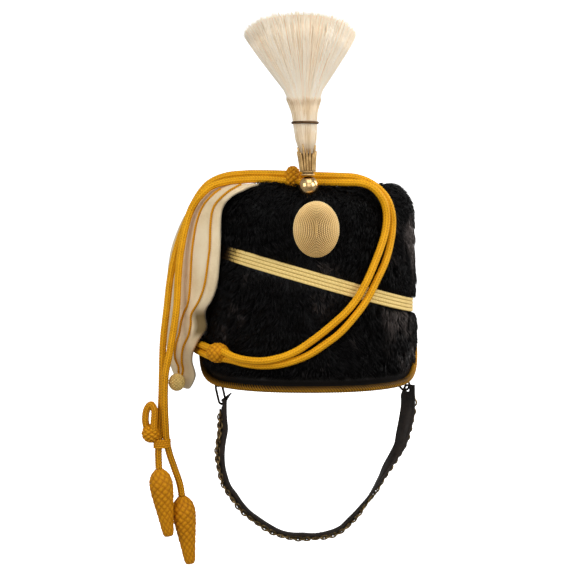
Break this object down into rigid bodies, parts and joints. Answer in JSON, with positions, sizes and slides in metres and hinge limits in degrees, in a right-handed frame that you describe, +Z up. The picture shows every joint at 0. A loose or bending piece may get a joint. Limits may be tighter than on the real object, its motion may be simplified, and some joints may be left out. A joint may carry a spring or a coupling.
{
  "type": "busby",
  "caption": "Fur busby with a cloth bag, braid band, oval boss, horsehair plume, tasselled cap lines and a chained leather chin strap.",
  "frame": {"origin": "middle of the head opening at the level of the rim's lowest edge, front and back", "axes": "+Z up out of the crown, -Y is the front with the boss and plume, +X is the wearer's left"},
  "size_m": [0.2271, 0.2477, 0.4433],
  "materials": {
    "fur": "long near-black fur with a soft brown-grey sheen",
    "shell_leather": "plain dark leather",
    "hem_leather": "smooth dark brown leather, worn",
    "strap_leather": "dry dark brown leather",
    "gold_cord": "golden yellow braided cord",
    "straw_cord": "pale straw-gold braid",
    "bag_cloth": "ivory wool cloth",
    "brass": "polished brass",
    "old_gilt": "dull old gilt",
    "dark_wire": "darkened wire",
    "plume_hair": "ivory horsehair with tan streaks"
  },
  "bodies": {
    "root": {"body_shell": "shell_leather", "sweatband": "hem_leather", "leather_hem": "hem_leather", "rim_cord": "gold_cord", "braid_band": "straw_cord", "boss": "straw_cord", "plume_ball": "brass", "plume_socket": "old_gilt", "plume_hair": "plume_hair", "plume_ring": "dark_wire", "cap_line_a": "gold_cord", "cap_line_b": "gold_cord", "ball_knot": "gold_cord", "top_knot": "gold_cord", "slide_knot": "gold_cord", "tassel_a": "gold_cord", "tassel_b": "gold_cord", "line_anchor": "strap_leather", "crown_cloth": "bag_cloth", "fur": "fur", "bag": "bag_cloth", "bag_piping_1": "gold_cord", "bag_piping_2": "gold_cord", "bag_knob": "straw_cord", "chin_chain": "brass", "strap_tab_left": "strap_leather", "strap_tab_right": "strap_leather", "chin_strap": "strap_leather", "strap_ring_left": "dark_wire", "strap_link_left": "dark_wire", "strap_link_right": "dark_wire"}
  },
  "joints": []
}
